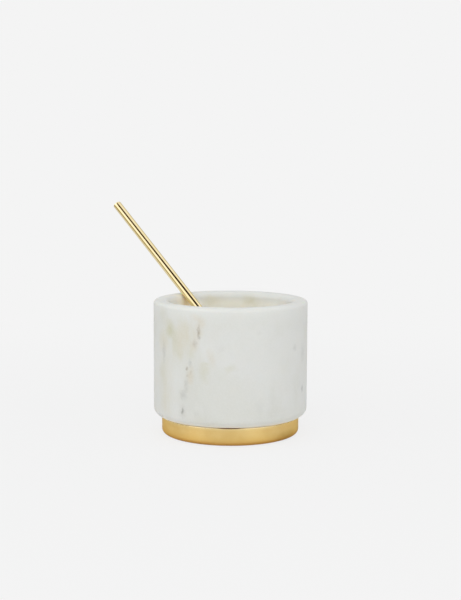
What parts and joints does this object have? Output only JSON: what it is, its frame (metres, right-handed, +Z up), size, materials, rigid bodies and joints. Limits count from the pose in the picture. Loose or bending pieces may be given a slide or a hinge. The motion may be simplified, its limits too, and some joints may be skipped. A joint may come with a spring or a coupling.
{
  "type": "marble pinch pot",
  "caption": "Open cylindrical pinch pot of honed stone on a round brass foot, with a slim brass rod spoon resting in it and leaning over the rim.",
  "frame": {"origin": "centre of the round face that the pot rests on, under the felt pad", "axes": "+Z up along the pot's axis; the spoon leans in the XZ plane, its handle over the rim towards -X and its bowl in the cavity's bottom corner towards +X; +Y is square to that plane"},
  "size_m": [0.1181, 0.076, 0.1123],
  "materials": {
    "marble": "honed, matte, with faint veins",
    "adhesive": "cured adhesive",
    "satin_brass": "satin, fine turned grain",
    "felt": "pressed felt",
    "polished_brass": "polished",
    "braze_metal": "polished"
  },
  "bodies": {
    "pot": {"marble_pot": "marble", "foot_bond": "adhesive", "brass_foot": "satin_brass", "felt_pad": "felt"},
    "spoon": {"spoon_handle": "polished_brass", "spoon_bowl": "polished_brass", "spoon_braze": "braze_metal"}
  },
  "joints": [
    {"name": "spoon_lift", "type": "slide", "parent": "pot", "child": "spoon", "axis": [0, 0, 1], "range_m": [0, 0.07]}
  ]
}
